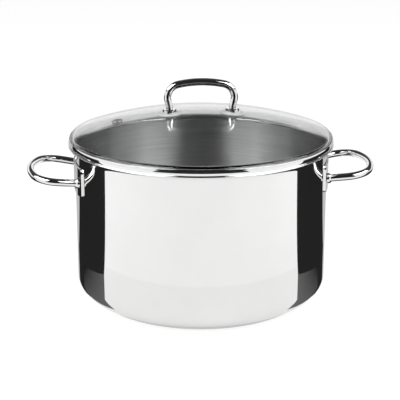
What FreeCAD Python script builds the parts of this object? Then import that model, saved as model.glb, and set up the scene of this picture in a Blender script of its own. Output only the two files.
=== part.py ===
import FreeCAD, Part
import math
import os

# Stock pot with a glass lid. Millimetres, +Z up, origin at the centre of the base underside.
# The side handles point along X. Every piece is one solid or one group of equal solids.

Vector = FreeCAD.Vector
Z_AXIS = Vector(0, 0, 1)

# Closest distance of two separate points, and how far a cutting tool runs past a face
SAME_POINT = 1e-6
CUT_OVERRUN = 1.0

# Pot shell
BODY_OUTER_RADIUS = 121.0
BODY_WALL = 1.0
RIM_HEIGHT = 152.2
CORNER_RADIUS = 16.5
FLARE_RADIUS = 5.2
LIP_LENGTH = 0.5

# Sandwich base
CORE_THICKNESS = 4.0
CAP_SHEET = 0.7
CAP_EDGE_RADIUS = 1.6
BASE_INSET = 0.5

# Side handles
ROD_DIAMETER = 7.0
HANDLE_BELOW_RIM = 28.7
HANDLE_RISE_DEG = 7.5
HANDLE_REACH = 43.0
LOOP_HALF_WIDTH = 41.5
LOOP_CORNER_RADIUS = 21.0
LOOP_END_RADIUS = 80.0
ARM_SPLAY_DEG = 12.0
WELD_FOOT_DIAMETER = 10.0
WELD_FOOT_LENGTH = 3.0
WELD_FOOT_CHAMFER = 0.8
PLATE_THICKNESS = 1.5
PLATE_HALF_WIDTH = 43.0
PLATE_HEIGHT = 27.0
PLATE_CORNER_RADIUS = 4.0

# Lid glass
GLASS_THICKNESS = 4.0
EDGE_WALL_HEIGHT = 3.6
DOME_RADIUS = 400.0
SHOULDER_RADIUS = 4.5

# Lid band and its seal
LID_SEAT_GAP = 0.3
BAND_INSET = 0.6
BAND_SHEET = 0.5
BAND_BULGE = 0.5
BAND_HEIGHT = 5.7
SKIRT_DEPTH = 3.2
SKIRT_CLEARANCE = 1.0
SEAL_SIDE = 0.3
SEAL_FLOOR = 0.5

# Lid handle
BOW_FOOT_HALF_SPACING = 30.0
BOW_HALF_WIDTH = 31.9
BOW_AXIS_HEIGHT = 29.3
BOW_SHOULDER_RADIUS = 13.0
BOW_TOP_RADIUS = 106.5
BOW_FOOT_BEND_RADIUS = 10.0
BOW_ROD_DIAMETER = 7.0
COLLAR_DIAMETER = 14.0
COLLAR_HEIGHT = 3.6
COLLAR_CHAMFER = 0.8

# Lid handle fixing
PAD_DIAMETER = 15.0
PAD_MIN_THICKNESS = 0.8
PAD_BRIM_DIAMETER = 23.0
PAD_BRIM_THICKNESS = 0.8
GLASS_HOLE_DIAMETER = 8.0
BUSH_NECK_CLEARANCE = 0.2
BUSH_NECK_GAP = 0.4
WASHER_DIAMETER = 12.0
WASHER_THICKNESS = 1.0
SCREW_DIAMETER = 4.0
SCREW_CLEARANCE = 0.15
THREAD_CLEARANCE = 0.05
SCREW_GRIP = 8.0
TAPPED_RESERVE = 2.0
SCREW_HEAD_DIAMETER = 8.0
SCREW_HEAD_HEIGHT = 2.4
RECESS_LENGTH = 4.4
RECESS_WIDTH = 1.0
RECESS_DEPTH = 1.2

# Steam vent
VENT_DISTANCE = 80.0
VENT_BORE = 3.0
VENT_TUBE_DIAMETER = 5.6
VENT_TUBE_CLEARANCE = 0.2
VENT_FLANGE_DIAMETER = 10.4
VENT_FLANGE_THICKNESS = 1.2
VENT_FLANGE_ROUND = 0.7
VENT_CURL_DIAMETER = 9.0
VENT_CURL_THICKNESS = 0.8
VENT_GASKET_THICKNESS = 0.5
VENT_GASKET_DIAMETER = 9.6

# Heights and radii that follow from the sizes above
FLOOR_UNDERSIDE = CAP_SHEET + CORE_THICKNESS
FLAT_RADIUS = BODY_OUTER_RADIUS - CORNER_RADIUS
HANDLE_HEIGHT = RIM_HEIGHT - HANDLE_BELOW_RIM
FLARE_START = RIM_HEIGHT - BODY_WALL - FLARE_RADIUS
RIM_OUTER_RADIUS = BODY_OUTER_RADIUS + FLARE_RADIUS + LIP_LENGTH + BODY_WALL / 2
CAP_OUTER_RADIUS = FLAT_RADIUS - BASE_INSET
PLATE_OUTER_RADIUS = BODY_OUTER_RADIUS + PLATE_THICKNESS
LOOP_END_CENTRE = HANDLE_REACH - LOOP_END_RADIUS
LOOP_CORNER_ACROSS = LOOP_HALF_WIDTH - LOOP_CORNER_RADIUS
LOOP_CORNER_SWING = LOOP_END_RADIUS - LOOP_CORNER_RADIUS
LOOP_MEET_DEG = math.degrees(math.asin(LOOP_CORNER_ACROSS / LOOP_CORNER_SWING))
LOOP_CORNER_OUTWARD = LOOP_END_CENTRE + math.sqrt(LOOP_CORNER_SWING ** 2 - LOOP_CORNER_ACROSS ** 2)
ARM_END_OUTWARD = LOOP_CORNER_OUTWARD - LOOP_CORNER_RADIUS * math.sin(math.radians(ARM_SPLAY_DEG))
ARM_END_ACROSS = LOOP_CORNER_ACROSS + LOOP_CORNER_RADIUS * math.cos(math.radians(ARM_SPLAY_DEG))
BAND_UNDERSIDE = RIM_HEIGHT + LID_SEAT_GAP
BAND_OUTER_RADIUS = RIM_OUTER_RADIUS - BAND_INSET
BAND_INNER_RADIUS = BAND_OUTER_RADIUS - BAND_BULGE - BAND_SHEET
BAND_TOP = BAND_UNDERSIDE + BAND_HEIGHT
SKIRT_OUTER_RADIUS = BODY_OUTER_RADIUS - BODY_WALL - SKIRT_CLEARANCE
GLASS_RADIUS = BAND_INNER_RADIUS - SEAL_SIDE
GLASS_BOTTOM = BAND_UNDERSIDE + BAND_SHEET + SEAL_FLOOR
SHOULDER_HEIGHT = GLASS_BOTTOM + EDGE_WALL_HEIGHT
SHOULDER_CENTRE_RADIUS = GLASS_RADIUS - SHOULDER_RADIUS
DOME_DROP = math.sqrt((DOME_RADIUS - SHOULDER_RADIUS) ** 2 - SHOULDER_CENTRE_RADIUS ** 2)
DOME_CENTRE = Vector(0, 0, SHOULDER_HEIGHT - DOME_DROP)
DOME_APEX = DOME_CENTRE.z + DOME_RADIUS
PAD_RADIUS = PAD_DIAMETER / 2
PAD_REACH_DOWN = 2 * GLASS_THICKNESS


def point(radius, height):
    """Point of a revolved profile."""
    return Vector(radius, 0, height)


def outline_face(edges):
    """Flat face inside a closed chain of edges."""
    return Part.Face(Part.Wire(edges))


def arc_edge(start, middle, end):
    """Circular edge through three points."""
    return Part.Arc(start, middle, end).toShape()


def revolved(face):
    """Full turn of a profile face about the vertical axis."""
    return face.revolve(Vector(0, 0, 0), Z_AXIS, 360)


def on_circle(centre, radius, angle_deg):
    """Point of a circle in the XZ plane, the angle from +X towards up."""
    angle = math.radians(angle_deg)
    return point(centre.x + radius * math.cos(angle), centre.z + radius * math.sin(angle))


def corner_arc(centre, radius, start_deg, end_deg):
    """Arc in the XZ plane, angles from +X towards up."""
    return arc_edge(on_circle(centre, radius, start_deg),
                    on_circle(centre, radius, (start_deg + end_deg) / 2),
                    on_circle(centre, radius, end_deg))


def end_points(item):
    """First and last point of a point or an edge."""
    if isinstance(item, Vector):
        return item, item
    return item.firstVertex(True).Point, item.lastVertex(True).Point


def chained(parts):
    """Edges of a closed profile: points become straight edges, arcs are kept."""
    edges = []
    for index, item in enumerate(parts):
        if not isinstance(item, Vector):
            edges.append(item)
        leave = end_points(item)[1]
        enter = end_points(parts[(index + 1) % len(parts)])[0]
        if leave.distanceToPoint(enter) > SAME_POINT:
            edges.append(Part.makeLine(leave, enter))
    return edges


def round_rod(path_edges, radius):
    """Round rod along touching lines and arcs: a cylinder on each line, part of a ring on each arc."""
    pieces = []
    for edge in path_edges:
        start = edge.firstVertex(True).Point
        end = edge.lastVertex(True).Point
        section = Part.Circle(start, edge.tangentAt(edge.FirstParameter), radius)
        face = Part.Face(Part.Wire([section.toShape()]))
        if isinstance(edge.Curve, Part.Line):
            pieces.append(face.extrude(end - start))
        else:
            turn = math.degrees(edge.LastParameter - edge.FirstParameter)
            pieces.append(face.revolve(edge.Curve.Center, edge.Curve.Axis, turn))
    return pieces[0].fuse(pieces[1:])


def disc(radius, bottom, top, centre_x=0.0):
    """Upright cylinder between two heights."""
    return Part.makeCylinder(radius, top - bottom, Vector(centre_x, 0, bottom))


def dome_height(distance, ball_radius):
    """Height of the dome surface at a distance from the lid axis."""
    return DOME_CENTRE.z + math.sqrt(ball_radius ** 2 - distance ** 2)


def outer_ball(thickness=0):
    """Ball whose skin is the outer dome surface, or lies over it by the given thickness."""
    return Part.makeSphere(DOME_RADIUS + thickness, DOME_CENTRE)


def inner_ball():
    """Ball whose skin is the inner dome surface."""
    return Part.makeSphere(DOME_RADIUS - GLASS_THICKNESS, DOME_CENTRE)


def arm_at_plate():
    """Where the axis of a side handle arm meets the saddle plate, as outward and across distances."""
    splay = math.radians(ARM_SPLAY_DEG)
    arm_end = Vector(BODY_OUTER_RADIUS + ARM_END_OUTWARD, ARM_END_ACROSS, 0)
    arm = Vector(math.cos(splay), math.sin(splay), 0)
    along = arm_end.dot(arm)
    back = along - math.sqrt(along ** 2 - arm_end.Length ** 2 + PLATE_OUTER_RADIUS ** 2)
    root = arm_end - arm * back
    return root.x - BODY_OUTER_RADIUS, root.y


ROOT_OUTWARD, ROOT_HALF_SPACING = arm_at_plate()

# Heights of the lid handle stack, taken where the dome is highest or lowest under a pad
PAD_TOP = dome_height(BOW_FOOT_HALF_SPACING - PAD_RADIUS, DOME_RADIUS) + PAD_MIN_THICKNESS
BUSH_BOTTOM = (dome_height(BOW_FOOT_HALF_SPACING + PAD_RADIUS, DOME_RADIUS - GLASS_THICKNESS)
               - PAD_MIN_THICKNESS)
WASHER_BOTTOM = BUSH_BOTTOM - WASHER_THICKNESS
SCREW_TIP = PAD_TOP + SCREW_GRIP


def pot_body():
    """Drawn shell: flat floor, round corner, straight wall and flared pouring rim."""
    corner = point(FLAT_RADIUS, FLOOR_UNDERSIDE + CORNER_RADIUS)
    flare = point(BODY_OUTER_RADIUS + FLARE_RADIUS, FLARE_START)
    lip_radius = BODY_OUTER_RADIUS + FLARE_RADIUS + LIP_LENGTH
    lip = point(lip_radius, RIM_HEIGHT - BODY_WALL / 2)
    profile = [
        point(0, FLOOR_UNDERSIDE),
        corner_arc(corner, CORNER_RADIUS, -90, 0),
        corner_arc(flare, FLARE_RADIUS, 180, 90),
        corner_arc(lip, BODY_WALL / 2, -90, 90),
        corner_arc(flare, FLARE_RADIUS + BODY_WALL, 90, 180),
        corner_arc(corner, CORNER_RADIUS - BODY_WALL, 0, -90),
        point(0, FLOOR_UNDERSIDE + BODY_WALL),
    ]
    return revolved(outline_face(chained(profile)))


def base_core_disc():
    """Aluminium heat disc between the pot floor and the cap."""
    radius = CAP_OUTER_RADIUS - CAP_SHEET
    edge = point(radius - CAP_EDGE_RADIUS, CAP_SHEET + CAP_EDGE_RADIUS)
    profile = [
        point(0, CAP_SHEET),
        corner_arc(edge, CAP_EDGE_RADIUS, -90, 0),
        point(radius, FLOOR_UNDERSIDE),
        point(0, FLOOR_UNDERSIDE),
    ]
    return revolved(outline_face(chained(profile)))


def base_cap():
    """Pressed stainless cap that wraps the heat disc."""
    edge = point(CAP_OUTER_RADIUS - CAP_SHEET - CAP_EDGE_RADIUS, CAP_SHEET + CAP_EDGE_RADIUS)
    profile = [
        point(0, 0),
        corner_arc(edge, CAP_EDGE_RADIUS + CAP_SHEET, -90, 0),
        point(CAP_OUTER_RADIUS, FLOOR_UNDERSIDE),
        point(CAP_OUTER_RADIUS - CAP_SHEET, FLOOR_UNDERSIDE),
        corner_arc(edge, CAP_EDGE_RADIUS, 0, -90),
        point(0, CAP_SHEET),
    ]
    return revolved(outline_face(chained(profile)))


def handle_plate():
    """Right hand saddle plate: an upright rectangle with round corners, curved to the wall."""
    bottom = HANDLE_HEIGHT - PLATE_HEIGHT / 2
    stamp = Part.makeBox(BODY_OUTER_RADIUS, 2 * PLATE_HALF_WIDTH, PLATE_HEIGHT,
                         Vector(BODY_OUTER_RADIUS / 2, -PLATE_HALF_WIDTH, bottom))
    corners = [edge for edge in stamp.Edges
               if abs(edge.Vertexes[0].X - edge.Vertexes[1].X) > SAME_POINT]
    stamp = stamp.makeFillet(PLATE_CORNER_RADIUS, corners)
    shell = disc(PLATE_OUTER_RADIUS, bottom, bottom + PLATE_HEIGHT).cut(
        disc(BODY_OUTER_RADIUS, bottom, bottom + PLATE_HEIGHT))
    return shell.common(stamp).removeSplitter()


def loop_point(outward, across):
    """Point in the tilted plane of the right hand loop; outward starts at the wall."""
    rise = math.radians(HANDLE_RISE_DEG)
    return Vector(BODY_OUTER_RADIUS + outward * math.cos(rise), across,
                  HANDLE_HEIGHT + outward * math.sin(rise))


def loop_arc(centre_outward, centre_across, radius, start_deg, end_deg):
    """Arc in the plane of the loop, angles from the outward direction."""
    def on_arc(angle_deg):
        angle = math.radians(angle_deg)
        return loop_point(centre_outward + radius * math.cos(angle), centre_across + radius * math.sin(angle))
    return arc_edge(on_arc(start_deg), on_arc((start_deg + end_deg) / 2), on_arc(end_deg))


def handle_rod():
    """Right hand loop: two splayed arms, two corners, a flat arched end and a weld foot on each arm."""
    splay = math.radians(ARM_SPLAY_DEG)
    arm_drop = (ARM_END_OUTWARD + WELD_FOOT_DIAMETER) * math.tan(splay)
    arm_end = loop_point(ARM_END_OUTWARD, ARM_END_ACROSS)
    arm_start = loop_point(-WELD_FOOT_DIAMETER, ARM_END_ACROSS - arm_drop)
    other_end = loop_point(ARM_END_OUTWARD, -ARM_END_ACROSS)
    other_start = loop_point(-WELD_FOOT_DIAMETER, arm_drop - ARM_END_ACROSS)
    path_edges = [
        Part.makeLine(arm_start, arm_end),
        loop_arc(LOOP_CORNER_OUTWARD, LOOP_CORNER_ACROSS, LOOP_CORNER_RADIUS, 90 + ARM_SPLAY_DEG,
                 LOOP_MEET_DEG),
        loop_arc(LOOP_END_CENTRE, 0, LOOP_END_RADIUS, LOOP_MEET_DEG, -LOOP_MEET_DEG),
        loop_arc(LOOP_CORNER_OUTWARD, -LOOP_CORNER_ACROSS, LOOP_CORNER_RADIUS, -LOOP_MEET_DEG,
                 -90 - ARM_SPLAY_DEG),
        Part.makeLine(other_end, other_start),
    ]
    rod = round_rod(path_edges, ROD_DIAMETER / 2)
    foot_length = (WELD_FOOT_DIAMETER + ROOT_OUTWARD) / math.cos(splay) + WELD_FOOT_LENGTH
    foot = Part.makeCylinder(WELD_FOOT_DIAMETER / 2, foot_length, arm_start, arm_end - arm_start)
    outer_rim = [edge for edge in foot.Edges
                 if len(edge.Vertexes) == 1
                 and edge.CenterOfMass.distanceToPoint(arm_start) > foot_length / 2]
    foot = foot.makeChamfer(WELD_FOOT_CHAMFER, outer_rim)
    other_foot = foot.mirror(Vector(0, 0, 0), Vector(0, 1, 0))
    return rod.fuse([foot, other_foot]).cut(disc(PLATE_OUTER_RADIUS, 0, RIM_HEIGHT))


def mirrored_left(shape):
    """Copy of a right hand piece on the left side."""
    return shape.mirror(Vector(0, 0, 0), Vector(1, 0, 0))


def lid_glass():
    """Tempered glass dome with a tight shoulder, two screw holes and one vent hole."""
    fillet = point(SHOULDER_CENTRE_RADIUS, SHOULDER_HEIGHT)
    meet_deg = math.degrees(math.atan2(DOME_DROP, SHOULDER_CENTRE_RADIUS))
    inner_radius = DOME_RADIUS - GLASS_THICKNESS
    inner_shoulder = SHOULDER_RADIUS - GLASS_THICKNESS
    profile = [
        point(GLASS_RADIUS - GLASS_THICKNESS, GLASS_BOTTOM),
        point(GLASS_RADIUS, GLASS_BOTTOM),
        corner_arc(fillet, SHOULDER_RADIUS, 0, meet_deg),
        corner_arc(DOME_CENTRE, DOME_RADIUS, meet_deg, 90),
        corner_arc(DOME_CENTRE, inner_radius, 90, meet_deg),
        corner_arc(fillet, inner_shoulder, meet_deg, 0),
    ]
    glass = revolved(outline_face(chained(profile)))
    for side in (-1, 1):
        glass = glass.cut(disc(GLASS_HOLE_DIAMETER / 2, BAND_UNDERSIDE, DOME_APEX + CUT_OVERRUN,
                               side * BOW_FOOT_HALF_SPACING))
    vent_hole_radius = VENT_TUBE_DIAMETER / 2 + VENT_TUBE_CLEARANCE
    return glass.cut(vent_cylinder(vent_hole_radius, -2 * GLASS_THICKNESS, GLASS_THICKNESS))


def vent_axis():
    """Outward direction of the dome at the vent."""
    return Vector(-VENT_DISTANCE, 0, dome_height(VENT_DISTANCE, DOME_RADIUS) - DOME_CENTRE.z).normalize()


def vent_cylinder(radius, start, end):
    """Cylinder square to the dome at the vent, heights measured from the outer glass surface."""
    axis = vent_axis()
    return Part.makeCylinder(radius, end - start, DOME_CENTRE + axis * (DOME_RADIUS + start), axis)


def lid_rim_band():
    """Rolled band: bulged outer wall, web under the glass and a skirt inside the pot."""
    web_top = BAND_UNDERSIDE + BAND_SHEET
    edge_radius = BAND_OUTER_RADIUS - BAND_BULGE
    top_round = BAND_SHEET / 2
    wall_top = BAND_TOP - top_round
    skirt_bottom = BAND_UNDERSIDE - SKIRT_DEPTH
    profile = [
        point(SKIRT_OUTER_RADIUS - BAND_SHEET, skirt_bottom),
        point(SKIRT_OUTER_RADIUS, skirt_bottom),
        point(SKIRT_OUTER_RADIUS, BAND_UNDERSIDE),
        arc_edge(point(edge_radius, BAND_UNDERSIDE),
                 point(BAND_OUTER_RADIUS, (BAND_UNDERSIDE + wall_top) / 2),
                 point(edge_radius, wall_top)),
        corner_arc(point(edge_radius - top_round, wall_top), top_round, 0, 180),
        point(BAND_INNER_RADIUS, web_top),
        point(SKIRT_OUTER_RADIUS - BAND_SHEET, web_top),
    ]
    return revolved(outline_face(chained(profile)))


def lid_rim_seal():
    """Silicone bed, an angle section between the glass edge and the band."""
    web_top = BAND_UNDERSIDE + BAND_SHEET
    profile = [
        point(GLASS_RADIUS - GLASS_THICKNESS, web_top),
        point(BAND_INNER_RADIUS, web_top),
        point(BAND_INNER_RADIUS, SHOULDER_HEIGHT),
        point(GLASS_RADIUS, SHOULDER_HEIGHT),
        point(GLASS_RADIUS, GLASS_BOTTOM),
        point(GLASS_RADIUS - GLASS_THICKNESS, GLASS_BOTTOM),
    ]
    return revolved(outline_face(chained(profile)))


def vent_eyelet():
    """Steel eyelet: round top flange, tube through the glass and curled lower flange."""
    seat = VENT_GASKET_THICKNESS
    flange_middle = DOME_RADIUS + seat + VENT_FLANGE_THICKNESS / 2
    top = vent_cylinder(VENT_FLANGE_DIAMETER / 2, seat, seat + VENT_FLANGE_THICKNESS)
    upper_rim = [edge for edge in top.Edges
                 if len(edge.Vertexes) == 1
                 and edge.CenterOfMass.distanceToPoint(DOME_CENTRE) > flange_middle]
    top = top.makeFillet(VENT_FLANGE_ROUND, upper_rim)
    tube = vent_cylinder(VENT_TUBE_DIAMETER / 2, -GLASS_THICKNESS - VENT_CURL_THICKNESS, seat)
    curl = vent_cylinder(VENT_CURL_DIAMETER / 2, -GLASS_THICKNESS - VENT_CURL_THICKNESS,
                         -GLASS_THICKNESS + VENT_CURL_THICKNESS).common(inner_ball())
    bore = vent_cylinder(VENT_BORE / 2, -2 * GLASS_THICKNESS, GLASS_THICKNESS)
    return top.fuse(tube).fuse(curl).cut(bore).removeSplitter()


def vent_gasket():
    """Thin silicone ring between the eyelet flange and the glass."""
    ring = vent_cylinder(VENT_GASKET_DIAMETER / 2, -VENT_GASKET_THICKNESS, VENT_GASKET_THICKNESS)
    hole = vent_cylinder(VENT_TUBE_DIAMETER / 2, -GLASS_THICKNESS, GLASS_THICKNESS)
    return ring.cut(outer_ball()).cut(hole)


def lid_handle_bow():
    """Rod bow with an arched top, wide shoulders, legs that lean out and a tapped hole in each foot."""
    top_centre = point(0, PAD_TOP + BOW_AXIS_HEIGHT - BOW_TOP_RADIUS)
    shoulder_x = BOW_HALF_WIDTH - BOW_SHOULDER_RADIUS
    reach = BOW_TOP_RADIUS - BOW_SHOULDER_RADIUS
    shoulder = point(shoulder_x, top_centre.z + math.sqrt(reach ** 2 - shoulder_x ** 2))
    meet_deg = math.degrees(math.acos(shoulder_x / reach))
    foot_bend = point(BOW_FOOT_HALF_SPACING + BOW_FOOT_BEND_RADIUS, PAD_TOP + COLLAR_HEIGHT)
    across = shoulder - foot_bend
    line_deg = math.degrees(math.atan2(across.z, across.x))
    turn_deg = math.degrees(math.acos((BOW_SHOULDER_RADIUS + BOW_FOOT_BEND_RADIUS) / across.Length))
    foot_deg = line_deg + turn_deg
    right_edges = [
        Part.makeLine(point(BOW_FOOT_HALF_SPACING, PAD_TOP), point(BOW_FOOT_HALF_SPACING, foot_bend.z)),
        corner_arc(foot_bend, BOW_FOOT_BEND_RADIUS, 180, foot_deg),
        Part.makeLine(on_circle(foot_bend, BOW_FOOT_BEND_RADIUS, foot_deg),
                      on_circle(shoulder, BOW_SHOULDER_RADIUS, foot_deg - 180)),
        corner_arc(shoulder, BOW_SHOULDER_RADIUS, foot_deg - 180, meet_deg),
    ]
    right_side = round_rod(right_edges, BOW_ROD_DIAMETER / 2)
    top = round_rod([corner_arc(top_centre, BOW_TOP_RADIUS, meet_deg, 180 - meet_deg)], BOW_ROD_DIAMETER / 2)
    bow = top.fuse([right_side, mirrored_left(right_side)])
    for side in (-1, 1):
        tapped_hole = disc(SCREW_DIAMETER / 2 + THREAD_CLEARANCE, PAD_TOP - CUT_OVERRUN,
                           SCREW_TIP + TAPPED_RESERVE, side * BOW_FOOT_HALF_SPACING)
        bow = bow.cut(tapped_hole)
    return bow


def lid_collar(side):
    """Turned collar that hides the top of a silicone pad and carries the rod foot."""
    centre_x = side * BOW_FOOT_HALF_SPACING
    collar = disc(COLLAR_DIAMETER / 2, PAD_TOP, PAD_TOP + COLLAR_HEIGHT, centre_x)
    top_edge = [edge for edge in collar.Edges
                if len(edge.Vertexes) == 1 and edge.CenterOfMass.z > PAD_TOP + COLLAR_HEIGHT / 2]
    collar = collar.makeChamfer(COLLAR_CHAMFER, top_edge)
    rod_hole = disc(BOW_ROD_DIAMETER / 2, PAD_TOP - CUT_OVERRUN, PAD_TOP + 2 * COLLAR_HEIGHT, centre_x)
    return collar.cut(rod_hole)


def lid_gasket_upper(side):
    """Silicone pad: a flat topped wedge under the collar and a thin brim that lies on the dome."""
    centre_x = side * BOW_FOOT_HALF_SPACING
    wedge = disc(PAD_RADIUS, DOME_APEX - PAD_REACH_DOWN, PAD_TOP, centre_x)
    brim = disc(PAD_BRIM_DIAMETER / 2, DOME_APEX - PAD_REACH_DOWN, PAD_TOP, centre_x)
    pad = wedge.fuse(brim.common(outer_ball(PAD_BRIM_THICKNESS)))
    bore = disc(SCREW_DIAMETER / 2 + SCREW_CLEARANCE, PAD_TOP - GLASS_THICKNESS, PAD_TOP + CUT_OVERRUN,
                centre_x)
    return pad.cut(outer_ball()).cut(bore).removeSplitter()


def lid_gasket_lower(side):
    """Silicone bush: flange shaped to the dome and a neck that lines the glass hole."""
    centre_x = side * BOW_FOOT_HALF_SPACING
    flange = disc(PAD_RADIUS, BUSH_BOTTOM, DOME_APEX, centre_x).common(inner_ball())
    neck_top = dome_height(BOW_FOOT_HALF_SPACING + GLASS_HOLE_DIAMETER / 2, DOME_RADIUS) - BUSH_NECK_GAP
    neck = disc(GLASS_HOLE_DIAMETER / 2 - BUSH_NECK_CLEARANCE, BUSH_BOTTOM, neck_top, centre_x)
    bore = disc(SCREW_DIAMETER / 2 + SCREW_CLEARANCE, BUSH_BOTTOM - CUT_OVERRUN, PAD_TOP, centre_x)
    return flange.fuse(neck).cut(bore).removeSplitter()


def lid_washer(side):
    """Plain steel washer under the silicone bush."""
    centre_x = side * BOW_FOOT_HALF_SPACING
    bore = disc(SCREW_DIAMETER / 2 + SCREW_CLEARANCE, WASHER_BOTTOM - CUT_OVERRUN, BUSH_BOTTOM + CUT_OVERRUN,
                centre_x)
    return disc(WASHER_DIAMETER / 2, WASHER_BOTTOM, BUSH_BOTTOM, centre_x).cut(bore)


def lid_screw(side):
    """Pan head screw with a cross recess, driven up into the bow foot."""
    centre_x = side * BOW_FOOT_HALF_SPACING
    head_bottom = WASHER_BOTTOM - SCREW_HEAD_HEIGHT
    head = disc(SCREW_HEAD_DIAMETER / 2, head_bottom, WASHER_BOTTOM, centre_x)
    low_edge = [edge for edge in head.Edges
                if len(edge.Vertexes) == 1 and edge.CenterOfMass.z < head_bottom + SCREW_HEAD_HEIGHT / 2]
    head = head.makeFillet(SCREW_HEAD_HEIGHT / 2, low_edge)
    shank = disc(SCREW_DIAMETER / 2, WASHER_BOTTOM, SCREW_TIP, centre_x)
    screw = head.fuse(shank).removeSplitter()
    for length, width in ((RECESS_LENGTH, RECESS_WIDTH), (RECESS_WIDTH, RECESS_LENGTH)):
        screw = screw.cut(Part.makeBox(length, width, RECESS_DEPTH,
                                       Vector(centre_x - length / 2, -width / 2, head_bottom)))
    return screw


def save(node, shape):
    """One STEP file per node."""
    shape.exportStep("parts/" + node + ".step")


os.makedirs("parts", exist_ok=True)
right_plate = handle_plate()
right_rod = handle_rod()
save("pot_body", pot_body())
save("base_core_disc", base_core_disc())
save("base_cap", base_cap())
save("handle_plate_right", right_plate)
save("handle_plate_left", mirrored_left(right_plate))
save("handle_rod_right", right_rod)
save("handle_rod_left", mirrored_left(right_rod))
save("lid_glass", lid_glass())
save("lid_rim_band", lid_rim_band())
save("lid_rim_seal", lid_rim_seal())
save("vent_eyelet", vent_eyelet())
save("vent_gasket", vent_gasket())
save("lid_handle_bow", lid_handle_bow())
for name, side in (("left", -1), ("right", 1)):
    save("lid_collar_" + name, lid_collar(side))
    save("lid_gasket_upper_" + name, lid_gasket_upper(side))
    save("lid_gasket_lower_" + name, lid_gasket_lower(side))
save("lid_washers", Part.makeCompound([lid_washer(-1), lid_washer(1)]))
save("lid_screws", Part.makeCompound([lid_screw(-1), lid_screw(1)]))
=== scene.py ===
import math

import bpy
from mathutils import Matrix, Vector


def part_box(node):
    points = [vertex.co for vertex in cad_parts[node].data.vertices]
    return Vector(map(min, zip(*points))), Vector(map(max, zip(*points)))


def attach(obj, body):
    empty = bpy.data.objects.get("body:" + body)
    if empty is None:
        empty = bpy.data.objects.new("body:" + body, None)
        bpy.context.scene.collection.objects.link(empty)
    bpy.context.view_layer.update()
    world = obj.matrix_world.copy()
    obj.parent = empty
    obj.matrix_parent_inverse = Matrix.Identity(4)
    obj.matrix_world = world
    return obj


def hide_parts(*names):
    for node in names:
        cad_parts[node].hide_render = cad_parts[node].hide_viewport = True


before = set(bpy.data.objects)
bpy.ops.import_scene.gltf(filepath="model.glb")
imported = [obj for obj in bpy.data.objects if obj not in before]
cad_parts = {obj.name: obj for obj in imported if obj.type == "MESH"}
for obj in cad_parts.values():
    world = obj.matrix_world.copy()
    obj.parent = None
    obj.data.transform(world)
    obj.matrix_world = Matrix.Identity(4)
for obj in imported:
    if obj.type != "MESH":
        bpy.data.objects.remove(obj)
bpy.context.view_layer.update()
scene = bpy.context.scene

# ---------------------------------------------------------------- camera
# A product camera well in front of the pot and a little to its left, looking down on the lid.
# Its long lens keeps the sides of the pot nearly upright.
CAMERA_PLACE = Vector((-0.0846, -1.1274, 0.4411))
CAMERA_LOOK = Vector((0.0707, 0.9531, -0.2945))
CAMERA_LENS = 109.1
CAMERA_SENSOR = 36.0

camera = bpy.data.objects.new("camera", bpy.data.cameras.new("camera"))
camera.location = CAMERA_PLACE
camera.rotation_mode = "QUATERNION"
camera.rotation_quaternion = CAMERA_LOOK.to_track_quat("-Z", "Y")
camera.data.lens = CAMERA_LENS
camera.data.sensor_width = CAMERA_SENSOR
camera.data.clip_start = 0.05
camera.data.clip_end = 50.0
scene.collection.objects.link(camera)
scene.camera = camera
scene.view_settings.view_transform = "Standard"

# ---------------------------------------------------------------- pot body
# Deep drawn shell of stainless steel, 1 mm thick, with a flared pouring rim.
# The outside is buffed to a mirror on a turning lathe; the inside keeps its fine brushed rings.
POT_RADIUS = 0.121
POT_WALL = 0.001
POT_CORNER = 0.0165
POT_FLARE = 0.0052
TURN_STEPS = 256
ON_AXIS = 1e-7
pot_low, pot_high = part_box("pot_body")


def arc(centre, radius, start_deg, end_deg, steps=10):
    """Points of an arc in a profile, angles from outward towards up."""
    turn = [math.radians(start_deg + (end_deg - start_deg) * i / steps) for i in range(steps + 1)]
    return [(centre[0] + radius * math.cos(a), centre[1] + radius * math.sin(a)) for a in turn]


def mesh_piece(name, points, faces, body, materials, face_materials=None, crease_deg=35):
    """Piece from points and faces, smooth except at sharp edges, riding on a body."""
    mesh = bpy.data.meshes.new(name)
    mesh.from_pydata([tuple(p) for p in points], [], faces)
    for material in materials:
        mesh.materials.append(material)
    if face_materials:
        mesh.polygons.foreach_set("material_index", face_materials)
    mesh.shade_smooth()
    mesh.set_sharp_from_angle(angle=math.radians(crease_deg))
    mesh.update()
    piece = bpy.data.objects.new(name, mesh)
    scene.collection.objects.link(piece)
    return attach(piece, body)


def turned(name, profile, body, materials, steps=TURN_STEPS, material_of=None):
    """Piece turned about the pot's axis from a closed profile of (radius, height) points."""
    points = []
    faces = []
    face_materials = []
    rings = []
    for radius, height in profile:
        if radius < ON_AXIS:
            rings.append([len(points)] * steps)
            points.append((0.0, 0.0, height))
            continue
        rings.append(list(range(len(points), len(points) + steps)))
        for i in range(steps):
            a = 2 * math.pi * i / steps
            points.append((radius * math.cos(a), radius * math.sin(a), height))
    for row, ring in enumerate(rings):
        other = rings[(row + 1) % len(rings)]
        if ring[0] == ring[1] and other[0] == other[1]:
            continue
        for i in range(steps):
            j = (i + 1) % steps
            corners = [ring[i], ring[j], other[j], other[i]]
            faces.append(list(dict.fromkeys(corners)))
            face_materials.append(material_of(row) if material_of else 0)
    return mesh_piece(name, points, faces, body, materials, face_materials)


def linear(hex_colour):
    """Linear colour from an sRGB hex value."""
    parts = [int(hex_colour[i:i + 2], 16) / 255 for i in (1, 3, 5)]
    return tuple(p / 12.92 if p <= 0.04045 else ((p + 0.055) / 1.055) ** 2.4 for p in parts) + (1.0,)


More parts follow.
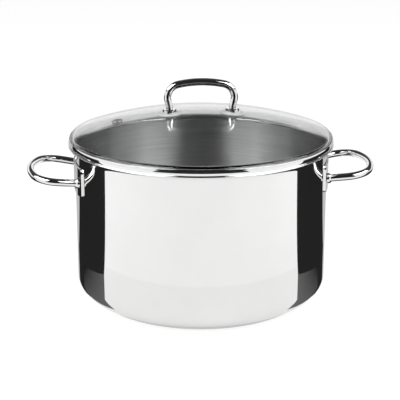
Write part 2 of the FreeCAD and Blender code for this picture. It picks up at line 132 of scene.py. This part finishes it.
def add_node(tree, kind, settings=None, links=None, **options):
    """Node of a kind with socket settings, links to its sockets and plain options."""
    node = tree.nodes.new("ShaderNode" + kind)
    for key, value in options.items():
        setattr(node, key, value)
    for key, value in (settings or {}).items():
        node.inputs[key].default_value = value
    for key, source in (links or {}).items():
        tree.links.new(source, node.inputs[key])
    return node


def new_material(name, colour_hex):
    """Empty node material with a viewport colour; returns it and its tree."""
    material = bpy.data.materials.new(name)
    material.use_nodes = True
    material.diffuse_color = linear(colour_hex)
    material.node_tree.nodes.clear()
    return material, material.node_tree


def ring_grain(tree, across, along):
    """Noise drawn out into rings about the axis: fine across them, slow along them. Sizes in metres."""
    place = add_node(tree, "TexCoord").outputs["Object"]
    flat = add_node(tree, "VectorMath", {1: (1, 1, 0)}, {0: place}, operation="MULTIPLY").outputs[0]
    radius = add_node(tree, "VectorMath", links={0: flat}, operation="LENGTH").outputs["Value"]
    height = add_node(tree, "SeparateXYZ", links={0: place}).outputs["Z"]
    fast = add_node(tree, "Math", links={0: radius, 1: height}, operation="ADD").outputs[0]
    fast = add_node(tree, "Math", {1: 1 / across}, {0: fast}, operation="MULTIPLY").outputs[0]
    slow = add_node(tree, "VectorMath", {1: (1 / along, 1 / along, 0)}, {0: place},
                    operation="MULTIPLY").outputs[0]
    rise = add_node(tree, "CombineXYZ", links={"Z": fast}).outputs[0]
    where = add_node(tree, "VectorMath", links={0: slow, 1: rise}, operation="ADD").outputs[0]
    noise = add_node(tree, "TexNoise", {"Scale": 1.0, "Detail": 3.0, "Roughness": 0.6}, {"Vector": where})
    return noise.outputs["Fac"]


# Noise keeps to the middle of 0..1, so this much of it is stretched over each range that follows
NOISE_SPREAD = {"From Min": 0.25, "From Max": 0.75}

POLISH_RINGS = 0.0008
POLISH_STROKE = 0.05
POLISH_CLOUDS_PER_METRE = 28.0
POLISH_RELIEF = {"Strength": 0.012, "Distance": 0.0002}


def mirror_steel(name, dark_hex, light_hex, rough_low, rough_high):
    """Stainless steel buffed to a mirror: clear reflections, faint polishing rings of about 0.8 mm."""
    material, tree = new_material(name, light_hex)
    grain = ring_grain(tree, POLISH_RINGS, POLISH_STROKE)
    place = add_node(tree, "TexCoord").outputs["Object"]
    cloud = add_node(tree, "TexNoise", {"Scale": POLISH_CLOUDS_PER_METRE, "Detail": 2.0},
                     {"Vector": place}).outputs["Fac"]
    tone = add_node(tree, "Mix", {"A": linear(dark_hex), "B": linear(light_hex)}, {"Factor": cloud},
                    data_type="RGBA").outputs["Result"]
    rough = add_node(tree, "MapRange", {**NOISE_SPREAD, "To Min": rough_low, "To Max": rough_high},
                     {"Value": grain}).outputs["Result"]
    bump = add_node(tree, "Bump", POLISH_RELIEF, {"Height": grain}).outputs[0]
    steel = add_node(tree, "BsdfPrincipled", {"Metallic": 1.0},
                     {"Base Color": tone, "Roughness": rough, "Normal": bump}).outputs[0]
    add_node(tree, "OutputMaterial", links={"Surface": steel})
    return material


# The real scratches are about 0.1 mm apart; they are drawn 1.1 mm apart so that they show
BRUSH_RINGS = 0.0011
BRUSH_STROKE = 0.06
BRUSH_RELIEF = {"Strength": 0.08, "Distance": 0.0002}
QUARTER_TURN = 0.25


def brushed_steel(name, dark_hex, light_hex, rough_low, rough_high, stretch):
    """Stainless steel brushed in rings: light spreads across the rings, so highlights stand upright."""
    material, tree = new_material(name, light_hex)
    grain = ring_grain(tree, BRUSH_RINGS, BRUSH_STROKE)
    tone = add_node(tree, "Mix", {"A": linear(dark_hex), "B": linear(light_hex)}, {"Factor": grain},
                    data_type="RGBA").outputs["Result"]
    rough = add_node(tree, "MapRange", {**NOISE_SPREAD, "To Min": rough_low, "To Max": rough_high},
                     {"Value": grain}).outputs["Result"]
    around = add_node(tree, "Tangent", direction_type="RADIAL", axis="Z").outputs[0]
    bump = add_node(tree, "Bump", BRUSH_RELIEF, {"Height": grain}).outputs[0]
    steel = add_node(tree, "BsdfPrincipled",
                     {"Metallic": 1.0, "Anisotropic": stretch, "Anisotropic Rotation": QUARTER_TURN},
                     {"Base Color": tone, "Roughness": rough, "Normal": bump, "Tangent": around}).outputs[0]
    add_node(tree, "OutputMaterial", links={"Surface": steel})
    return material


polished_outside = mirror_steel("stainless_mirror_buffed", "#ECECEC", "#F2F2F2", 0.015, 0.05)
brushed_inside = brushed_steel("stainless_ring_brushed", "#AEAEAE", "#F0F0F0", 0.36, 0.44, 1.0)

flat_radius = POT_RADIUS - POT_CORNER
corner = (flat_radius, pot_low.z + POT_CORNER)
flare = (POT_RADIUS + POT_FLARE, pot_high.z - POT_WALL - POT_FLARE)
lip = (pot_high.x - POT_WALL / 2, pot_high.z - POT_WALL / 2)
outside = [(0.0, pot_low.z)] + arc(corner, POT_CORNER, -90, 0, 16) + arc(flare, POT_FLARE, 180, 90, 10)
lip_edge = arc(lip, POT_WALL / 2, -90, 90, 8)
rim_top = arc(flare, POT_FLARE + POT_WALL, 90, 180, 12)
inside = arc(corner, POT_CORNER - POT_WALL, 0, -90, 16) + [(0.0, pot_low.z + POT_WALL)]
shell_profile = outside + lip_edge + rim_top + inside
brushed_from = len(outside + lip_edge + rim_top) - 1

pot_shell = turned("pot_shell", shell_profile, "pot", [polished_outside, brushed_inside],
                   material_of=lambda row: int(brushed_from <= row < len(shell_profile) - 1))
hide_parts("pot_body")

# ---------------------------------------------------------------- sandwich base
# Aluminium heat disc pressed under the floor and wrapped in a stainless cap.
# The cap is turned after pressing, which leaves concentric rings; the disc is plain rolled sheet.
CAP_SHEET = 0.0007
CAP_EDGE = 0.0016
cap_low, cap_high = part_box("base_cap")
cap_edge = (cap_high.x - CAP_SHEET - CAP_EDGE, CAP_SHEET + CAP_EDGE)

turned_base = brushed_steel("stainless_turned_base", "#D8D7D5", "#EBEAE8", 0.10, 0.20, 0.6)
cap_profile = ([(0.0, cap_low.z)] + arc(cap_edge, CAP_EDGE + CAP_SHEET, -90, 0, 8)
               + [(cap_high.x, cap_high.z), (cap_high.x - CAP_SHEET, cap_high.z)]
               + arc(cap_edge, CAP_EDGE, 0, -90, 8) + [(0.0, CAP_SHEET)])
heat_cap = turned("heat_cap", cap_profile, "pot", [turned_base])
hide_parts("base_cap")


ROLLING_LINES = 0.002
ROLLING_STROKE = 0.125


def rolled_aluminium():
    """Mill finish aluminium sheet: soft sheen with straight rolling lines about 2 mm apart."""
    material, tree = new_material("aluminium_mill_finish", "#D6D7D9")
    place = add_node(tree, "TexCoord").outputs["Object"]
    rolled = (1 / ROLLING_LINES, 1 / ROLLING_STROKE, 1 / ROLLING_LINES)
    lines = add_node(tree, "Mapping", {"Scale": rolled}, {"Vector": place}).outputs[0]
    grain = add_node(tree, "TexNoise", {"Scale": 1.0, "Detail": 2.0}, {"Vector": lines}).outputs["Fac"]
    tone = add_node(tree, "Mix", {"A": linear("#C9CACC"), "B": linear("#DADBDD")}, {"Factor": grain},
                    data_type="RGBA").outputs["Result"]
    rough = add_node(tree, "MapRange", {**NOISE_SPREAD, "To Min": 0.32, "To Max": 0.46},
                     {"Value": grain}).outputs["Result"]
    metal = add_node(tree, "BsdfPrincipled", {"Metallic": 1.0},
                     {"Base Color": tone, "Roughness": rough}).outputs[0]
    add_node(tree, "OutputMaterial", links={"Surface": metal})
    return material


def dress(node, material):
    """Gives a piece that keeps its plain solid its finish."""
    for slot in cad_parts[node].material_slots:
        slot.material = material


dress("base_core_disc", rolled_aluminium())

# ---------------------------------------------------------------- side handles
# 7 mm stainless rod bent to a loop, welded by thickened feet to a saddle plate on the wall.
# Both are buffed to a mirror after welding.
ROD_RADIUS = 0.0035
HANDLE_RISE = math.radians(7.5)
LOOP_HALF_WIDTH = 0.0415
LOOP_CORNER = 0.021
LOOP_END = 0.080
ARM_SPLAY = math.radians(12.0)
FOOT_RADIUS = 0.005
FOOT_LENGTH = 0.003
FOOT_CHAMFER = 0.0008
WELD_LENGTH = 0.0006
WELD_STEP = 0.0002
# The arms start this far back from the side of the body, with their axis 0.3 mm off the saddle plate
ARM_SETBACK = 0.004
ROD_SIDES = 40
plate_low, plate_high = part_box("handle_plate_right")
handle_height = (plate_low.z + plate_high.z) / 2
handle_reach = (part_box("handle_rod_right")[1].x - POT_RADIUS - ROD_RADIUS) / math.cos(HANDLE_RISE)

rod_steel = mirror_steel("stainless_rod_buffed", "#E6E6E6", "#EFEFEE", 0.02, 0.06)


def flat_arc(centre, radius, start, end, step_deg=4):
    """Points of an arc in the loop's own plane, angles in radians from outward."""
    steps = max(2, int(abs(math.degrees(end - start)) / step_deg))
    angles = [start + (end - start) * i / steps for i in range(steps + 1)]
    return [(centre[0] + radius * math.cos(a), centre[1] + radius * math.sin(a)) for a in angles]


def loop_line():
    """Axis of the loop as (outward, across) points, from one foot to the other."""
    across = LOOP_HALF_WIDTH - LOOP_CORNER
    swing = LOOP_END - LOOP_CORNER
    meet = math.asin(across / swing)
    end_centre = handle_reach - LOOP_END
    corner_out = end_centre + swing * math.cos(meet)
    arm_end = (corner_out - LOOP_CORNER * math.sin(ARM_SPLAY), across + LOOP_CORNER * math.cos(ARM_SPLAY))
    start = (-ARM_SETBACK, arm_end[1] - (arm_end[0] + ARM_SETBACK) * math.tan(ARM_SPLAY))
    half = [start]
    half += flat_arc((corner_out, across), LOOP_CORNER, math.pi / 2 + ARM_SPLAY, meet)
    half += flat_arc((end_centre, 0.0), LOOP_END, meet, 0.0, 2)[1:]
    return half + [(o, -a) for o, a in reversed(half[:-1])]


def swept(line, radii, sides=ROD_SIDES):
    """Points and faces of a round rod along a line of points, with a radius at each point."""
    points = []
    faces = []
    normal = None
    for i, here in enumerate(line):
        ahead = (line[min(i + 1, len(line) - 1)] - line[max(i - 1, 0)]).normalized()
        if normal is None:
            normal = ahead.orthogonal()
        normal = (normal - ahead * normal.dot(ahead)).normalized()
        side = ahead.cross(normal)
        for k in range(sides):
            a = 2 * math.pi * k / sides
            points.append(here + (normal * math.cos(a) + side * math.sin(a)) * radii[i])
    for i in range(len(line) - 1):
        for k in range(sides):
            m = (k + 1) % sides
            faces.append([i * sides + k, i * sides + m, (i + 1) * sides + m, (i + 1) * sides + k])
    faces.append(list(range(sides))[::-1])
    faces.append([(len(line) - 1) * sides + k for k in range(sides)])
    return points, faces


def loop_piece(side, node, name):
    """One loop handle: the rod and its two weld feet."""
    def place(outward, across):
        return Vector((side * (POT_RADIUS + outward * math.cos(HANDLE_RISE)), across,
                       handle_height + outward * math.sin(HANDLE_RISE)))
    line = [place(o, a) for o, a in loop_line()]
    points, faces = swept(line, [ROD_RADIUS] * len(line))
    arm = (line[1] - line[0]).normalized()
    steps = [(0.0, FOOT_RADIUS),
             (FOOT_LENGTH - FOOT_CHAMFER, FOOT_RADIUS),
             (FOOT_LENGTH, FOOT_RADIUS - FOOT_CHAMFER),
             (FOOT_LENGTH + WELD_LENGTH, ROD_RADIUS + WELD_STEP)]
    for flip in (1, -1):
        foot_line = [Vector((p.x, p.y * flip, p.z)) for p in (line[0] + arm * d for d, r in steps)]
        foot_points, foot_faces = swept(foot_line, [r for d, r in steps])
        base = len(points)
        points += foot_points
        faces += [[base + i for i in face] for face in foot_faces]
    piece = mesh_piece(name, points, faces, "pot", [rod_steel])
    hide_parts(node)


loop_piece(-1, "handle_rod_left", "loop_handle_left")
loop_piece(1, "handle_rod_right", "loop_handle_right")
dress("handle_plate_left", rod_steel)
dress("handle_plate_right", rod_steel)

# ---------------------------------------------------------------- lid band and seal
# Stainless strip rolled to a ring that grips the edge of the glass, with a skirt inside the pot.
# A clear grey silicone bed lies between glass and steel.
BAND_SHEET = 0.0005
BAND_BULGE = 0.0005
SKIRT_RADIUS = 0.119
band_low, band_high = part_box("lid_rim_band")
seal_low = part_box("lid_rim_seal")[0]
band_underside = seal_low.z - BAND_SHEET
band_edge = band_high.x - BAND_BULGE
band_wall_top = band_high.z - BAND_SHEET / 2


def bulge(low, high, steps=10):
    """Outer wall of the band: a shallow outward curve between two (radius, height) points."""
    half = (high[1] - low[1]) / 2
    middle = (high[1] + low[1]) / 2
    heights = [low[1] + (high[1] - low[1]) * i / steps for i in range(steps + 1)]
    return [(low[0] + BAND_BULGE * (1 - ((h - middle) / half) ** 2), h) for h in heights]


band_profile = ([(SKIRT_RADIUS - BAND_SHEET, band_low.z), (SKIRT_RADIUS, band_low.z)]
                + [(SKIRT_RADIUS, band_underside)]
                + bulge((band_edge, band_underside), (band_edge, band_wall_top))
                + arc((band_edge - BAND_SHEET / 2, band_wall_top), BAND_SHEET / 2, 0, 180, 8)[1:]
                + [(band_edge - BAND_SHEET, band_underside + BAND_SHEET),
                   (SKIRT_RADIUS - BAND_SHEET, band_underside + BAND_SHEET)])
lid_band = turned("lid_band", band_profile, "lid", [polished_outside])
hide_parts("lid_rim_band")


MOULD_GRAINS_PER_METRE = 1400.0


def grey_silicone(name, dark_hex, light_hex):
    """Moulded food grade silicone: slightly see-through, with a fine mould texture of 0.7 mm."""
    material, tree = new_material(name, light_hex)
    place = add_node(tree, "TexCoord").outputs["Object"]
    cloud = add_node(tree, "TexNoise", {"Scale": MOULD_GRAINS_PER_METRE, "Detail": 2.0},
                     {"Vector": place}).outputs["Fac"]
    tone = add_node(tree, "Mix", {"A": linear(dark_hex), "B": linear(light_hex)}, {"Factor": cloud},
                    data_type="RGBA").outputs["Result"]
    rough = add_node(tree, "MapRange", {**NOISE_SPREAD, "To Min": 0.35, "To Max": 0.5},
                     {"Value": cloud}).outputs["Result"]
    bump = add_node(tree, "Bump", {"Strength": 0.2, "Distance": 0.0001}, {"Height": cloud}).outputs[0]
    rubber = add_node(tree, "BsdfPrincipled",
                      {"IOR": 1.41, "Subsurface Weight": 0.2, "Subsurface Radius": (0.002, 0.002, 0.002)},
                      {"Base Color": tone, "Roughness": rough, "Normal": bump}).outputs[0]
    add_node(tree, "OutputMaterial", links={"Surface": rubber})
    return material


dress("lid_rim_seal", grey_silicone("silicone_clear_grey", "#CBCCCB", "#DADBDA"))

# ---------------------------------------------------------------- lid glass
# Tempered soda-lime glass, 4 mm, pressed to a shallow dome with a tight shoulder at its edge.
# It lies on its silicone bed in the band. The real glass is drilled for the two screws and the vent;
# here it is turned whole, and the fittings pass through it.
GLASS_THICKNESS = 0.004
DOME_RADIUS = 0.400
SHOULDER = 0.0045
glass_low, glass_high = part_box("lid_glass")
dome_centre = (0.0, glass_high.z - DOME_RADIUS)
shoulder_radius = glass_high.x - SHOULDER
shoulder_height = dome_centre[1] + math.sqrt((DOME_RADIUS - SHOULDER) ** 2 - shoulder_radius ** 2)
meet_deg = math.degrees(math.atan2(shoulder_height - dome_centre[1], shoulder_radius))


GREEN_DRIFT = 0.0625


def clear_glass():
    """Clear tempered glass: quite smooth, with a faint green tone that drifts over about 60 mm."""
    material, tree = new_material("tempered_soda_lime_glass", "#F4FAF8")
    place = add_node(tree, "TexCoord").outputs["Object"]
    drift = add_node(tree, "TexNoise", {"Scale": 1 / GREEN_DRIFT, "Detail": 1.0},
                     {"Vector": place}).outputs["Fac"]
    tone = add_node(tree, "Mix", {"A": linear("#F9FBFA"), "B": linear("#FDFEFE")}, {"Factor": drift},
                    data_type="RGBA").outputs["Result"]
    glass = add_node(tree, "BsdfPrincipled", {"Transmission Weight": 1.0, "IOR": 1.52, "Roughness": 0.0},
                     {"Base Color": tone}).outputs[0]
    add_node(tree, "OutputMaterial", links={"Surface": glass})
    return material


glass_profile = ([(glass_high.x - GLASS_THICKNESS, glass_low.z), (glass_high.x, glass_low.z)]
                 + arc((shoulder_radius, shoulder_height), SHOULDER, 0, meet_deg, 12)
                 + arc(dome_centre, DOME_RADIUS, meet_deg, 90, 40)[1:]
                 + arc(dome_centre, DOME_RADIUS - GLASS_THICKNESS, 90, meet_deg, 40)
                 + arc((shoulder_radius, shoulder_height), SHOULDER - GLASS_THICKNESS, meet_deg, 0, 6)[1:])
glass_profile = [(max(r, 0.0), h) for r, h in glass_profile]
glass_dome = turned("glass_dome", glass_profile, "lid", [clear_glass()])
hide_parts("lid_glass")

# ---------------------------------------------------------------- lid handle
# 7 mm stainless rod bent to a bow, standing on two turned collars over silicone pads.
# A pan head screw and washer inside the pot pull each foot down.
FOOT_HALF_SPACING = 0.030
BOW_HALF_WIDTH = 0.0319
BOW_SHOULDER = 0.013
BOW_TOP = 0.1065
FOOT_BEND = 0.010
bow_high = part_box("lid_handle_bow")[1]
collar_low, collar_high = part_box("lid_collar_left")


def bow_line():
    """Axis of the bow as (x, z) points from the right foot over the top to the left foot."""
    top_centre = (0.0, bow_high.z - ROD_RADIUS - BOW_TOP)
    shoulder_x = BOW_HALF_WIDTH - BOW_SHOULDER
    reach = BOW_TOP - BOW_SHOULDER
    shoulder = (shoulder_x, top_centre[1] + math.sqrt(reach ** 2 - shoulder_x ** 2))
    meet = math.acos(shoulder_x / reach)
    bend = (FOOT_HALF_SPACING + FOOT_BEND, collar_high.z)
    apart = (shoulder[0] - bend[0], shoulder[1] - bend[1])
    turn = math.atan2(apart[1], apart[0]) + math.acos((BOW_SHOULDER + FOOT_BEND) / math.hypot(*apart))
    half = [(FOOT_HALF_SPACING, collar_low.z)]
    half += flat_arc(bend, FOOT_BEND, math.pi, turn)
    half += flat_arc(shoulder, BOW_SHOULDER, turn - math.pi, meet)
    half += flat_arc(top_centre, BOW_TOP, meet, math.pi / 2, 1)[1:]
    return half + [(-x, z) for x, z in reversed(half[:-1])]


bow_axis = [Vector((x, 0.0, z)) for x, z in bow_line()]
bow_points, bow_faces = swept(bow_axis, [ROD_RADIUS] * len(bow_axis))
lid_bow = mesh_piece("lid_bow", bow_points, bow_faces, "lid", [rod_steel])
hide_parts("lid_handle_bow")


TUMBLING_MARKS = 0.0005


def plain_screw_steel():
    """Machine screw steel as it leaves the header: satin, slightly darker, with tumbling marks of 0.5 mm."""
    material, tree = new_material("stainless_screw_plain", "#B9B8B6")
    place = add_node(tree, "TexCoord").outputs["Object"]
    marks = add_node(tree, "TexVoronoi", {"Scale": 1 / TUMBLING_MARKS},
                     {"Vector": place}).outputs["Distance"]
    tone = add_node(tree, "Mix", {"A": linear("#ACABA9"), "B": linear("#C2C1BF")}, {"Factor": marks},
                    data_type="RGBA").outputs["Result"]
    rough = add_node(tree, "MapRange", {**NOISE_SPREAD, "To Min": 0.25, "To Max": 0.4},
                     {"Value": marks}).outputs["Result"]
    metal = add_node(tree, "BsdfPrincipled", {"Metallic": 1.0},
                     {"Base Color": tone, "Roughness": rough}).outputs[0]
    add_node(tree, "OutputMaterial", links={"Surface": metal})
    return material


pad_silicone = grey_silicone("silicone_smoke_grey", "#B4B5B4", "#C2C3C2")
for node in ("lid_gasket_upper_left", "lid_gasket_upper_right", "lid_gasket_lower_left",
             "lid_gasket_lower_right"):
    dress(node, pad_silicone)
screw_steel = plain_screw_steel()
for node, finish in (("lid_collar_left", rod_steel), ("lid_collar_right", rod_steel),
                     ("lid_screws", screw_steel), ("lid_washers", screw_steel)):
    dress(node, finish)

# ---------------------------------------------------------------- steam vent
# Stainless eyelet clinched through the glass, with a thin silicone ring under its flange.
# The eyelet has the same satin finish as the screws.
dress("vent_eyelet", screw_steel)
dress("vent_gasket", pad_silicone)

# ---------------------------------------------------------------- studio
# Pale floor and white surround, with two soft boxes on each side: one near the camera, one further round.
# Black, grey and pale cards lie on the floor round the pot; the near grey ones are painted shadow, the floor
# in the black cards' shade.
# Only the polished steel shows them, the dark ones as its dark strips. Cards and soft boxes are set out
# square to the camera.
CAMERA_TURN = math.atan2(-CAMERA_LOOK.x, CAMERA_LOOK.y)
square_to_camera = Matrix.Rotation(CAMERA_TURN, 4, "Z")
to_camera = (-CAMERA_LOOK).to_2d().normalized()


def stage_sheet(name, corners, material, only_mirrored=False):
    """Flat stage object from its corners, given square to the camera; cards show only in mirrors."""
    mesh = bpy.data.meshes.new(name)
    placed = [tuple(square_to_camera @ Vector(c)) for c in corners]
    mesh.from_pydata(placed, [], [list(range(len(corners)))])
    mesh.materials.append(material)
    sheet = bpy.data.objects.new(name, mesh)
    scene.collection.objects.link(sheet)
    if only_mirrored:
        sheet.visible_camera = False
        sheet.visible_diffuse = False
        sheet.visible_transmission = False
        sheet.visible_shadow = False


# The mirrored floor glow holds painted shade: it is a little dimmer close to the pot, and on the camera's
# side of it
NEAR_EDGE = (0.226, 0.229)
NEAR_AND_FAR_GLOW = (0.645, 0.695)
SIDE_AND_FRONT_GAIN = (1.07, 0.94)
SIDE_COSINE = 0.3
SEEN_GLOW = 0.86
FLOOR_SPECKLES_PER_METRE = 60.0


def floor_paint():
    """Matt white floor. It glows to eyes and mirrors so that it stays white, and keeps a shadow; its glow in
    mirrors holds painted shade near the pot and on the camera's side.
    """
    material, tree = new_material("floor_matt_white", "#F7F7F6")
    place = add_node(tree, "TexCoord").outputs["Object"]
    speckle = add_node(tree, "TexNoise", {"Scale": FLOOR_SPECKLES_PER_METRE, "Detail": 3.0},
                       {"Vector": place}).outputs["Fac"]
    grey = add_node(tree, "Mix", {"A": linear("#7A7A79"), "B": linear("#7E7E7D")}, {"Factor": speckle},
                    data_type="RGBA").outputs["Result"]
    matt = add_node(tree, "BsdfDiffuse", links={"Color": grey}).outputs[0]
    flat = add_node(tree, "VectorMath", {1: (1, 1, 0)}, {0: place}, operation="MULTIPLY").outputs[0]
    radius = add_node(tree, "VectorMath", links={0: flat}, operation="LENGTH").outputs["Value"]
    # Painted shade in the mirrored glow: dimmer close to the pot, and on the camera's side of it
    near_pot_painted_shade = add_node(tree, "MapRange", {"From Min": NEAR_EDGE[0], "From Max": NEAR_EDGE[1],
                                           "To Min": NEAR_AND_FAR_GLOW[0], "To Max": NEAR_AND_FAR_GLOW[1]},
                        {"Value": radius}).outputs[0]
    outward = add_node(tree, "VectorMath", links={0: flat}, operation="NORMALIZE").outputs[0]
    facing = add_node(tree, "VectorMath", {1: (to_camera.x, to_camera.y, 0)}, {0: outward},
                      operation="DOT_PRODUCT").outputs["Value"]
    gain = add_node(tree, "MapRange", {"From Min": SIDE_COSINE, "From Max": 1.0,
                                       "To Min": SIDE_AND_FRONT_GAIN[0], "To Max": SIDE_AND_FRONT_GAIN[1]},
                    {"Value": facing}).outputs[0]
    strength = add_node(tree, "Math", links={0: near_pot_painted_shade, 1: gain}, operation="MULTIPLY").outputs[0]
    glow_seen = add_node(tree, "Emission", {"Color": linear("#FFFFFF"), "Strength": SEEN_GLOW}).outputs[0]
    glow_mirrored = add_node(tree, "Emission", {"Color": linear("#FFFFFF")},
                             {"Strength": strength}).outputs[0]
    seen = add_node(tree, "LightPath").outputs["Is Camera Ray"]
    mirrored = add_node(tree, "Math", {1: 0.5}, {0: seen}, operation="LESS_THAN").outputs[0]
    glow = add_node(tree, "MixShader", links={0: mirrored, 1: glow_seen, 2: glow_mirrored}).outputs[0]
    paint = add_node(tree, "AddShader", links={0: matt, 1: glow}).outputs[0]
    add_node(tree, "OutputMaterial", links={"Surface": paint})
    return material


CLOUDS_ON_CARD = 9.0
CARD_WEAR = 0.1


def card(name, front_hex, back_hex):
    """Card that keeps its own tone whatever light falls on it, running from its front to its back edge; on
    the near grey card that run is painted shade.
    """
    material, tree = new_material(name, front_hex)
    place = add_node(tree, "TexCoord").outputs["Generated"]
    cloud = add_node(tree, "TexNoise", {"Scale": CLOUDS_ON_CARD}, {"Vector": place}).outputs["Fac"]
    depth = add_node(tree, "SeparateXYZ", links={0: place}).outputs["Y"]
    # Painted shade and wear: the tone runs from the front edge to the back edge, with a little wear cloud
    # mixed in
    shade_run_and_wear = add_node(tree, "Mix", {"Factor": CARD_WEAR}, {"A": depth, "B": cloud},
                    data_type="FLOAT").outputs["Result"]
    tone = add_node(tree, "Mix", {"A": linear(front_hex), "B": linear(back_hex)}, {"Factor": shade_run_and_wear},
                    data_type="RGBA").outputs["Result"]
    face = add_node(tree, "Emission", {"Strength": 1.0}, {"Color": tone}).outputs[0]
    add_node(tree, "OutputMaterial", links={"Surface": face})
    return material


FLOOR_HALF = 6.0
floor_corners = [(x * FLOOR_HALF, y * FLOOR_HALF, 0.0) for x, y in ((-1, -1), (1, -1), (1, 1), (-1, 1))]
stage_sheet("floor", floor_corners, floor_paint())

# Corners of the floor cards as (across, back) on the right of the pot, from its wall outwards.
# The near grey card, painted shadow on the floor beside the black card, ends in an arc that comes in a
# little with each degree towards the back.
CARD_LIFT = 0.0004
FRONT_LINE = [(0.090, -0.082), (0.198, -0.060), (3.0, 0.16)]
BACK_LINE = [(0.117, -0.028), (0.172, 0.115), (2.3, 2.65)]
BEHIND_LINE = [(0.060, 0.105), (0.120, 0.168), (0.6, 3.0)]
NEAR_FLOOR = 0.1925
NEAR_FLOOR_SHRINK = 0.0008
NEAR_END = (0.1145, -0.039)
NEAR_ARC_DEGREES = range(-13, 12, 4)

near_arc = []
for angle in NEAR_ARC_DEGREES:
    radius = NEAR_FLOOR - NEAR_FLOOR_SHRINK * angle
    near_arc.append((radius * math.cos(math.radians(angle)), radius * math.sin(math.radians(angle))))
black_card = card("card_black", "#262626", "#0C0C0C")
# Painted shadow: the near grey card is the floor in the black card's shade, darkening to black towards its
# back edge
painted_shadow_card = card("card_painted_shadow_grey", "#6E6E6E", "#000000")
pale_card = card("card_pale_grey", "#C4C4C4", "#C4C4C4")
floor_cards = {
    "black": (FRONT_LINE[1:] + BACK_LINE[::-1] + [NEAR_END] + near_arc[::-1], black_card),
    "near": (FRONT_LINE[:2] + near_arc + [NEAR_END], painted_shadow_card),
    "pale": (BACK_LINE + BEHIND_LINE[::-1], pale_card),
}
for tag, side in (("left", -1), ("right", 1)):
    for kind, (outline, material) in floor_cards.items():
        corners = [(side * x, y, CARD_LIFT) for x, y in outline]
        stage_sheet("card_" + kind + "_" + tag, corners, material, only_mirrored=True)

# The floor between the pot and the camera is dark from here outwards, and so is the room above it
DARK_HALF_ANGLE = 37
DARK_BLUR = 2
DARK_FROM = 0.60
DARK_TO = 5.5
dark_ways = [(math.sin(math.radians(a)), -math.cos(math.radians(a)))
             for a in range(-DARK_HALF_ANGLE, DARK_HALF_ANGLE + 1, 2)]
dark_corners = [(x * DARK_FROM, y * DARK_FROM, CARD_LIFT) for x, y in dark_ways]
dark_corners += [(x * DARK_TO, y * DARK_TO, CARD_LIFT) for x, y in reversed(dark_ways)]
stage_sheet("card_dark_floor", dark_corners, black_card, only_mirrored=True)

BOX_ELEVATION = math.radians(38)
BOX_DISTANCE = 1.7
AIM_HEIGHT = 0.1


def soft_box(name, azimuth_deg, width, height, radiance):
    """Soft box aimed at the pot, azimuth from the camera's side; radiance 1 is the tone of a white sheet."""
    lamp = bpy.data.lights.new(name, "AREA")
    lamp.shape = "RECTANGLE"
    lamp.size = width
    lamp.size_y = height
    lamp.energy = radiance * math.pi * width * height
    azimuth = math.radians(azimuth_deg)
    reach = math.cos(BOX_ELEVATION)
    back = Vector((math.sin(azimuth) * reach, -math.cos(azimuth) * reach, math.sin(BOX_ELEVATION)))
    box = bpy.data.objects.new(name, lamp)
    box.location = square_to_camera @ (back * BOX_DISTANCE + Vector((0, 0, AIM_HEIGHT)))
    box.rotation_mode = "QUATERNION"
    box.rotation_quaternion = (square_to_camera @ (-back)).to_track_quat("-Z", "Y")
    scene.collection.objects.link(box)


for tag, side in (("left", -1), ("right", 1)):
    soft_box("soft_box_key_" + tag, azimuth_deg=side * 47, width=0.95, height=0.9, radiance=5.0)
    soft_box("soft_box_side_" + tag, azimuth_deg=side * 86, width=1.1, height=0.8, radiance=3.8)

# The surround is white to the eye and through glass. In mirrors its walls are white up to a height,
# with a dim ceiling above them and a dark room behind the camera, and it lights matt things evenly.
WALL_TOP = (0.235, 0.275)
WALL_TONE = 0.98
CEILING_TONE = 0.05
DARK_ROOM_TONE = 0.02
MATT_LIGHT = 0.45
WHITE = 1.0

world = bpy.data.worlds.new("studio_surround")
world.use_nodes = True
scene.world = world
sky_tree = world.node_tree
sky_tree.nodes.clear()
way = add_node(sky_tree, "TexCoord").outputs["Generated"]
rise = add_node(sky_tree, "SeparateXYZ", links={0: way}).outputs["Z"]
walls = add_node(sky_tree, "MapRange", {"From Min": WALL_TOP[0], "From Max": WALL_TOP[1],
                                        "To Min": WALL_TONE, "To Max": CEILING_TONE},
                 {"Value": rise}).outputs[0]
level = add_node(sky_tree, "VectorMath", {1: (1, 1, 0)}, {0: way}, operation="MULTIPLY").outputs[0]
level = add_node(sky_tree, "VectorMath", links={0: level}, operation="NORMALIZE").outputs[0]
facing = add_node(sky_tree, "VectorMath", {1: (to_camera.x, to_camera.y, 0)}, {0: level},
                  operation="DOT_PRODUCT").outputs["Value"]
dark_room = add_node(sky_tree, "MapRange", {"From Min": math.cos(math.radians(DARK_HALF_ANGLE + DARK_BLUR)),
                                            "From Max": math.cos(math.radians(DARK_HALF_ANGLE - DARK_BLUR))},
                     {"Value": facing}).outputs[0]
surround = add_node(sky_tree, "Mix", {"B": DARK_ROOM_TONE}, {"Factor": dark_room, "A": walls},
                    data_type="FLOAT").outputs["Result"]
path = add_node(sky_tree, "LightPath").outputs
scattered = add_node(sky_tree, "Math", {1: 0.5}, {0: path["Diffuse Depth"]},
                     operation="GREATER_THAN").outputs[0]
lit = add_node(sky_tree, "Mix", {"B": MATT_LIGHT}, {"Factor": scattered, "A": surround},
               data_type="FLOAT").outputs["Result"]
bounces = add_node(sky_tree, "Math", links={0: path["Ray Depth"], 1: path["Transmission Depth"]},
                   operation="SUBTRACT").outputs[0]
mirrored = add_node(sky_tree, "Math", {1: 0.5}, {0: bounces}, operation="GREATER_THAN").outputs[0]
brightness = add_node(sky_tree, "Mix", {"A": WHITE}, {"Factor": mirrored, "B": lit},
                      data_type="FLOAT").outputs["Result"]
sky = add_node(sky_tree, "Background", {"Color": linear("#FFFFFF")}, {"Strength": brightness}).outputs[0]
add_node(sky_tree, "OutputWorld", links={"Surface": sky})
